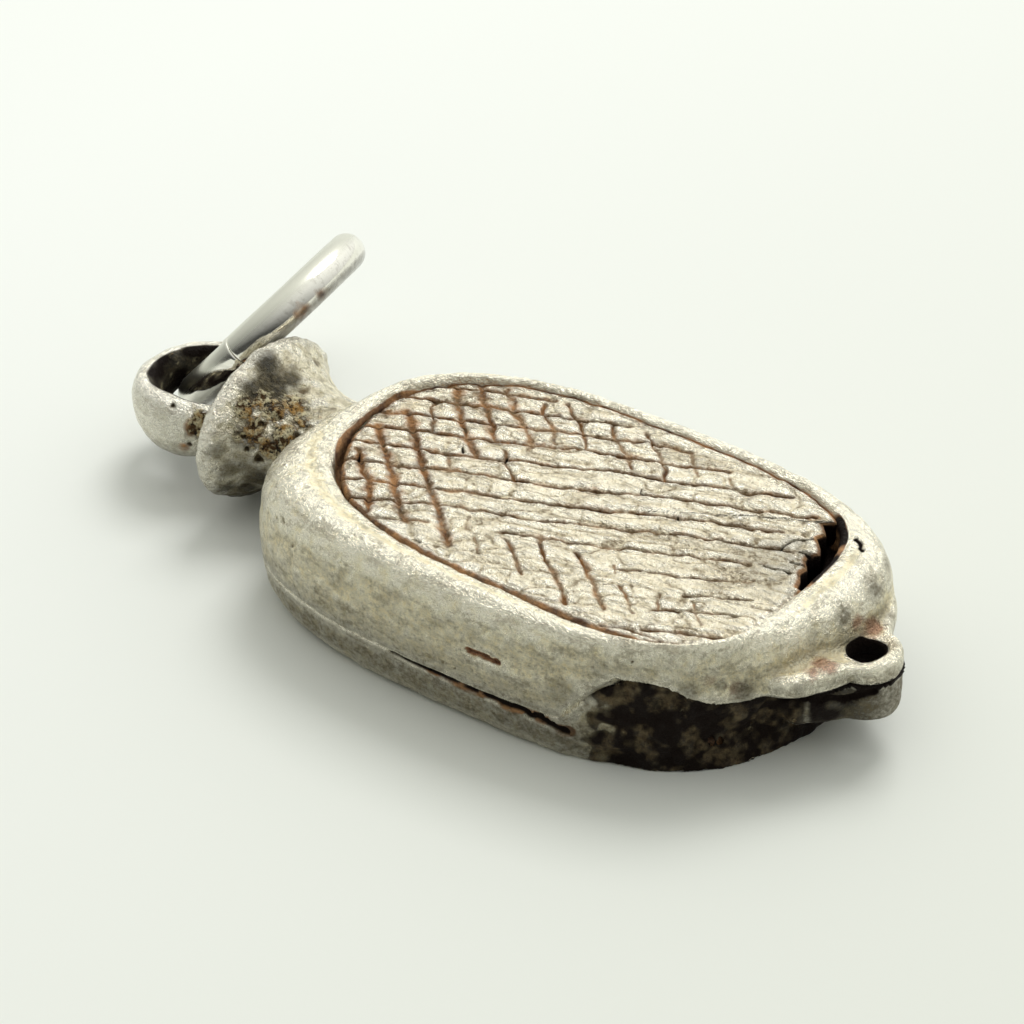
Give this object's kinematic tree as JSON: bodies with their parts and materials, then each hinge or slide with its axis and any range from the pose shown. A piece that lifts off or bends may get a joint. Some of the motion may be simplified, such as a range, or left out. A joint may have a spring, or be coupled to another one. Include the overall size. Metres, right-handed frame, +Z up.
{
  "type": "hot water bottle charm",
  "caption": "Small hollow silver charm shaped like a hot water bottle, with cross-hatched panels, a funnel neck, a hanging tab, and a jump ring through the stopper's eye.",
  "frame": {"origin": "under the middle of the whole charm's outline, on the surface that it lies on", "axes": "+X from the jump ring and neck towards the hanging tab, +Y towards the side that the jump ring leans to, +Z up from the back face to the front face"},
  "size_m": [0.0254, 0.0122, 0.0055],
  "materials": {
    "cast_silver": "worn cast sterling silver, satin with polished crests and dark tarnish in the hollows",
    "engraved_silver": "worn engraved sterling silver, rough satin, with brown residue in the grooves",
    "tarnished_silver": "sterling silver with a crust of dark and brown tarnish",
    "bright_silver": "smooth drawn silver wire, polished by wear"
  },
  "bodies": {
    "charm_body": {"front_shell": "cast_silver", "back_shell": "cast_silver", "front_panel": "engraved_silver", "back_panel": "engraved_silver", "funnel_neck": "tarnished_silver", "stopper_eye": "cast_silver"},
    "ring": {"jump_ring": "bright_silver"}
  },
  "joints": [
    {"name": "jump_ring_swing", "type": "hinge", "parent": "charm_body", "child": "ring", "pos_m": [-0.01093, 0.00092, 0.00235], "axis": [-0.8829, -0.4649, -0.0653], "range_deg": [0, 90]}
  ]
}
